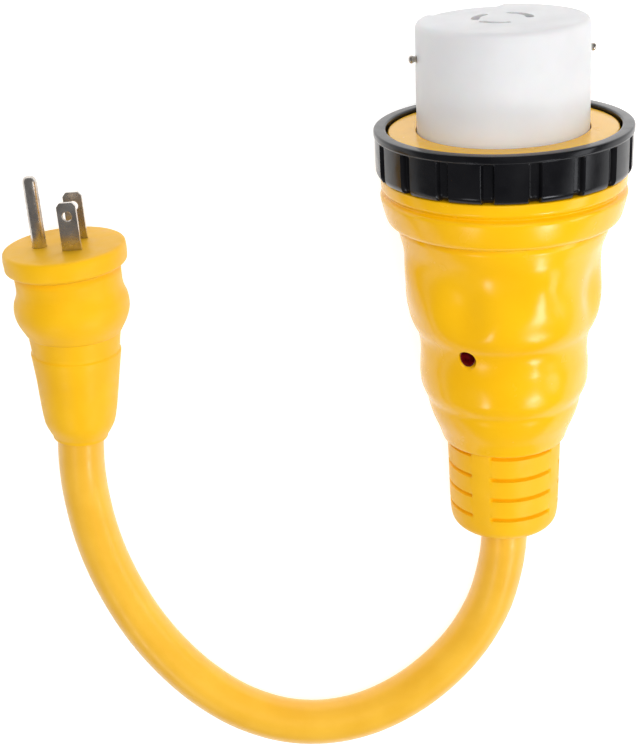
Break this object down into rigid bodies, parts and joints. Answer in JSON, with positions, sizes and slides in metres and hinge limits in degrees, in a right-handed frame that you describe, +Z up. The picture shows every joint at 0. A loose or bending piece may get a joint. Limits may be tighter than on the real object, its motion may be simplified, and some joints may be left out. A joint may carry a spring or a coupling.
{
  "type": "shore power adapter",
  "caption": "Short moulded adapter lead: a straight-blade three-pin plug, a thick yellow cord and a round locking connector with a turning sealing ring and a power light.",
  "frame": {"origin": "on the table, under the middle of the plug and connector taken together without the cord", "axes": "+Z up from the table; +Y away from the cord loop, roughly the way the plug blades and the connector nose point; +X from the plug towards the connector"},
  "size_m": [0.203, 0.2645, 0.0823],
  "materials": {
    "yellow_vinyl": "glossy moulded yellow vinyl",
    "cord_jacket": "satin yellow cord jacket",
    "black_nylon": "glossy black nylon",
    "white_nylon": "satin white nylon",
    "brass": "stamped brass",
    "nickel": "nickel plate",
    "black_rubber": "matte rubber",
    "red_lens": "dark red lens",
    "resistor_body": "matte tan coating",
    "wire_black": "black wire insulation",
    "wire_white": "white wire insulation",
    "wire_green": "green wire insulation"
  },
  "bodies": {
    "adapter": {"connector_overmold": "yellow_vinyl", "strain_relief_boot": "yellow_vinyl", "nose_insulator": "white_nylon", "contact_carrier": "white_nylon", "contact_line_1": "brass", "contact_line_2": "brass", "contact_neutral": "brass", "ground_strap": "brass", "ground_lug_left": "nickel", "ground_lug_right": "nickel", "carrier_screw_1": "nickel", "carrier_screw_2": "nickel", "carrier_screw_3": "nickel", "led_lamp": "red_lens", "led_resistor": "resistor_body", "led_lead_line": "wire_white", "led_lead_neutral": "wire_white", "conductor_line": "wire_black", "conductor_neutral": "wire_white", "conductor_ground": "wire_green", "jumper_line_link": "wire_black", "cord_end_in_connector": "cord_jacket", "cord_end_in_plug": "cord_jacket", "power_cord": "cord_jacket", "plug_overmold": "yellow_vinyl", "plug_blade_carrier": "black_nylon", "line_blade": "nickel", "neutral_blade": "nickel", "ground_pin": "nickel", "plug_conductor_line": "wire_black", "plug_conductor_neutral": "wire_white", "plug_conductor_ground": "wire_green"},
    "sealing_gasket": {"ring_gasket": "black_rubber"},
    "turning_ring": {"locking_ring": "black_nylon"}
  },
  "joints": [
    {"name": "ring_slide", "type": "slide", "parent": "adapter", "child": "sealing_gasket", "axis": [-0.0528, 0.9822, 0.1805], "range_m": [0, 0.0037]},
    {"name": "ring_turn", "type": "hinge", "parent": "sealing_gasket", "child": "turning_ring", "pos_m": [0.06101, 0.04508, 0.04134], "axis": [-0.0528, 0.9822, 0.1805], "continuous": true}
  ]
}
